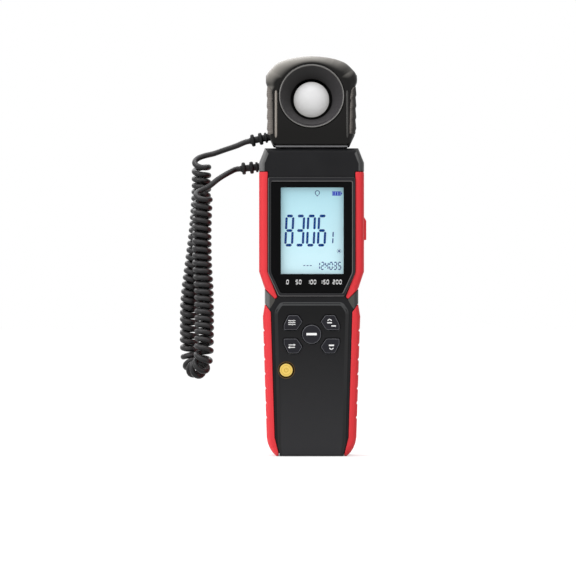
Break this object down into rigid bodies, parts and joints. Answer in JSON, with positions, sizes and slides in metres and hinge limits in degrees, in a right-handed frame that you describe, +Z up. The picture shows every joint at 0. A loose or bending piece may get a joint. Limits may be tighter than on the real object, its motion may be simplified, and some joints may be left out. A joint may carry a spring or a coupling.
{
  "type": "lux meter",
  "caption": "Handheld light meter with a display, keypad and rubber side grips, and a plug-in sensor head with a white diffuser dome on a curly cord.",
  "frame": {"origin": "middle of the flat base of the meter body", "axes": "+X to the right seen from the front, +Y away from the viewer towards the back, +Z up along the body"},
  "size_m": [0.0938, 0.0314, 0.2002],
  "materials": {
    "case_black": "moulded black plastic with a fine spark-eroded grain",
    "grip_red": "satin red overmoulded soft plastic",
    "rubber_black": "matt black rubber",
    "lens_black": "clear window with a glossy black printed border",
    "lcd_glass": "pale cyan lit liquid crystal glass",
    "light_guide": "frosted white light guide",
    "white_plastic": "white moulded plastic",
    "contact_elastomer": "layered conductive silicone strip",
    "circuit_board": "green solder mask",
    "silicone_grey": "matt silicone rubber",
    "key_grey": "satin dark grey key caps",
    "key_yellow": "satin yellow key cap",
    "steel": "nickel-plated steel",
    "screw_black": "black oxide steel",
    "brass": "knurled brass",
    "cell_wrap": "plain wrapped dry cell",
    "plug_grey": "grey moulded plastic",
    "diffuser_white": "opal white diffuser plastic",
    "filter_glass": "green correction glass",
    "cord_black": "satin black cable jacket"
  },
  "bodies": {
    "meter": {"front_case": "case_black", "rear_case": "case_black", "grip_upper_left": "grip_red", "grip_upper_right": "grip_red", "grip_lower_left": "grip_red", "grip_lower_right": "grip_red", "display_lens": "lens_black", "lcd_panel": "lcd_glass", "lcd_backlight": "light_guide", "lcd_frame": "white_plastic", "zebra_strip": "contact_elastomer", "main_board": "circuit_board", "keypad_mat": "silicone_grey", "usb_socket": "steel", "battery_1": "cell_wrap", "battery_2": "cell_wrap", "battery_3": "cell_wrap", "contact_negative": "steel", "contact_link_top": "steel", "contact_link_bottom": "steel", "contact_positive": "steel", "cover_thread_insert": "brass", "case_screw_1": "screw_black", "case_screw_2": "screw_black", "case_screw_3": "screw_black", "case_screw_4": "screw_black", "dock_socket": "case_black", "meter_boot": "rubber_black", "cord_lead_head": "cord_black", "curly_cord": "cord_black", "cord_lead_meter": "cord_black"},
    "sensor_head": {"dock_plug": "plug_grey", "head_front_shell": "case_black", "head_rear_shell": "case_black", "head_grip_left": "rubber_black", "head_grip_right": "rubber_black", "sensor_bezel": "case_black", "diffuser_dome": "diffuser_white", "correction_filter": "filter_glass", "photodiode": "screw_black", "sensor_board": "circuit_board", "head_screw_1": "screw_black", "head_screw_2": "screw_black", "head_screw_3": "screw_black", "head_screw_4": "screw_black", "head_boot": "rubber_black"},
    "upper_left_key": {"key_upper_left": "key_grey"},
    "upper_right_key": {"key_upper_right": "key_grey"},
    "lower_left_key": {"key_lower_left": "key_grey"},
    "lower_right_key": {"key_lower_right": "key_grey"},
    "center_key": {"key_center": "key_grey"},
    "power_key": {"key_power": "key_yellow"},
    "usb_flap": {"usb_cover": "grip_red"},
    "battery_door": {"battery_cover": "case_black", "battery_cover_screw": "screw_black"}
  },
  "joints": [
    {"name": "head_dock", "type": "slide", "parent": "meter", "child": "sensor_head", "axis": [0, 0, 1], "range_m": [0, 0.012]},
    {"name": "upper_left_press", "type": "slide", "parent": "meter", "child": "upper_left_key", "axis": [0, 1, 0], "range_m": [0, 0.0008], "stiffness_N_per_m": 150},
    {"name": "upper_right_press", "type": "slide", "parent": "meter", "child": "upper_right_key", "axis": [0, 1, 0], "range_m": [0, 0.0008], "stiffness_N_per_m": 150},
    {"name": "lower_left_press", "type": "slide", "parent": "meter", "child": "lower_left_key", "axis": [0, 1, 0], "range_m": [0, 0.0008], "stiffness_N_per_m": 150},
    {"name": "lower_right_press", "type": "slide", "parent": "meter", "child": "lower_right_key", "axis": [0, 1, 0], "range_m": [0, 0.0008], "stiffness_N_per_m": 150},
    {"name": "center_press", "type": "slide", "parent": "meter", "child": "center_key", "axis": [0, 1, 0], "range_m": [0, 0.0008], "stiffness_N_per_m": 150},
    {"name": "power_press", "type": "slide", "parent": "meter", "child": "power_key", "axis": [0, 1, 0], "range_m": [0, 0.0008], "stiffness_N_per_m": 150},
    {"name": "usb_flap_hinge", "type": "hinge", "parent": "meter", "child": "usb_flap", "pos_m": [0.0264, -0.0033, 0.12005], "axis": [0, -1, 0], "range_deg": [0, 110]},
    {"name": "battery_door_hinge", "type": "hinge", "parent": "meter", "child": "battery_door", "pos_m": [0, 0.015, 0.006], "axis": [-1, 0, 0], "range_deg": [0, 60]}
  ]
}
